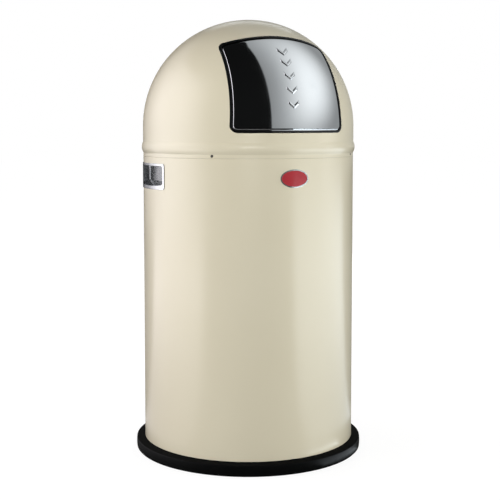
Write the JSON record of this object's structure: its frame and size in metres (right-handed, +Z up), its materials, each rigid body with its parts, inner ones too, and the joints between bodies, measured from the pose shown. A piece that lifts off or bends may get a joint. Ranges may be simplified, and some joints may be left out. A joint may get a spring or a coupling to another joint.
{
  "type": "push-flap waste bin",
  "caption": "Round sheet-steel waste bin with a lift-off dome hood, a sprung push flap in a trimmed front opening, side grips, a base ring and a lift-out liner with a bail.",
  "frame": {"origin": "middle of the footprint, on the floor under the base ring", "axes": "+Z up along the bin's axis, -Y towards the flap at the front, +X to the viewer's right"},
  "size_m": [0.4, 0.4, 0.755],
  "materials": {
    "cream_powder_coat": "satin powder coat",
    "polished_stainless": "mirror-polished stainless steel",
    "black_trim": "extruded rubber edging",
    "black_base": "moulded rubber, satin",
    "chrome_grip": "chrome-plated pressed steel",
    "red_enamel": "gloss enamel",
    "zinc_steel": "zinc-plated steel",
    "spring_steel": "drawn spring steel",
    "galvanised": "hot-dip galvanised sheet steel",
    "rivet_steel": "dark plated steel",
    "black_sleeve": "moulded polypropylene"
  },
  "bodies": {
    "bin": {"base_ring": "black_base", "floor_pan": "zinc_steel", "body_shell": "cream_powder_coat", "left_grip": "chrome_grip", "right_grip": "chrome_grip", "front_badge": "red_enamel"},
    "hood": {"dome_hood": "cream_powder_coat", "opening_trim": "black_trim", "hood_collar": "zinc_steel", "collar_rivets": "rivet_steel", "left_hinge_bracket": "zinc_steel", "right_hinge_bracket": "zinc_steel", "hinge_rod": "zinc_steel", "rod_retainers": "zinc_steel", "left_flap_spring": "spring_steel", "right_flap_spring": "spring_steel"},
    "flap": {"push_flap": "polished_stainless", "left_flap_arm": "zinc_steel", "right_flap_arm": "zinc_steel"},
    "liner": {"inner_liner": "galvanised", "left_bail_ear": "galvanised", "right_bail_ear": "galvanised", "ear_rivets": "zinc_steel"},
    "bail": {"bail_wire": "galvanised", "bail_grip": "black_sleeve"}
  },
  "joints": [
    {"name": "hood_lift", "type": "slide", "parent": "bin", "child": "hood", "axis": [0, 0, 1], "range_m": [0, 0.25]},
    {"name": "flap_swing", "type": "hinge", "parent": "hood", "child": "flap", "pos_m": [0, -0.07102, 0.7151], "axis": [1, 0, 0], "range_deg": [0, 60], "stiffness_Nm_per_rad": 0.5, "springref_deg": -68.75, "deforming": ["left_flap_spring", "right_flap_spring"]},
    {"name": "liner_lift", "type": "slide", "parent": "bin", "child": "liner", "axis": [0, 0, 1], "range_m": [0, 0.05]},
    {"name": "bail_swing", "type": "hinge", "parent": "liner", "child": "bail", "pos_m": [0, 0, 0.44], "axis": [1, 0, 0], "range_deg": [0, 92]}
  ]
}
